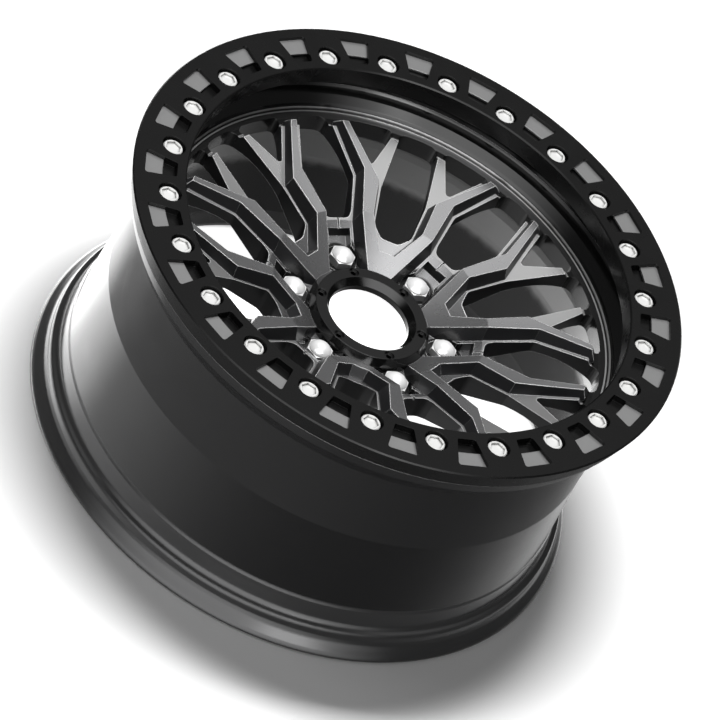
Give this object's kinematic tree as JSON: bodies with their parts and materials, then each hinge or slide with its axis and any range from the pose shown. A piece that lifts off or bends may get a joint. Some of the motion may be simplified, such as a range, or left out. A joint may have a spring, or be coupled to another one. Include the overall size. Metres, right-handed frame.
{
  "type": "beadlock wheel",
  "caption": "Deep dished off-road wheel with forked spokes and a bolted black beadlock ring.",
  "frame": {"origin": "centre of the rear lip's plane, on the wheel's axis, with the wheel lying on its rear lip", "axes": "+Z along the axle line towards the outer face of the wheel, X and Y square to it"},
  "size_m": [0.4977, 0.4978, 0.25],
  "materials": {
    "wheel_metal": "gunmetal metallic paint, satin",
    "ring_metal": "satin black",
    "bolt_steel": "bright steel",
    "nut_chrome": "polished chrome"
  },
  "bodies": {
    "root": {"wheel": "wheel_metal", "beadlock_ring": "ring_metal", "ring_bolts": "bolt_steel", "lug_nuts": "nut_chrome"}
  },
  "joints": []
}
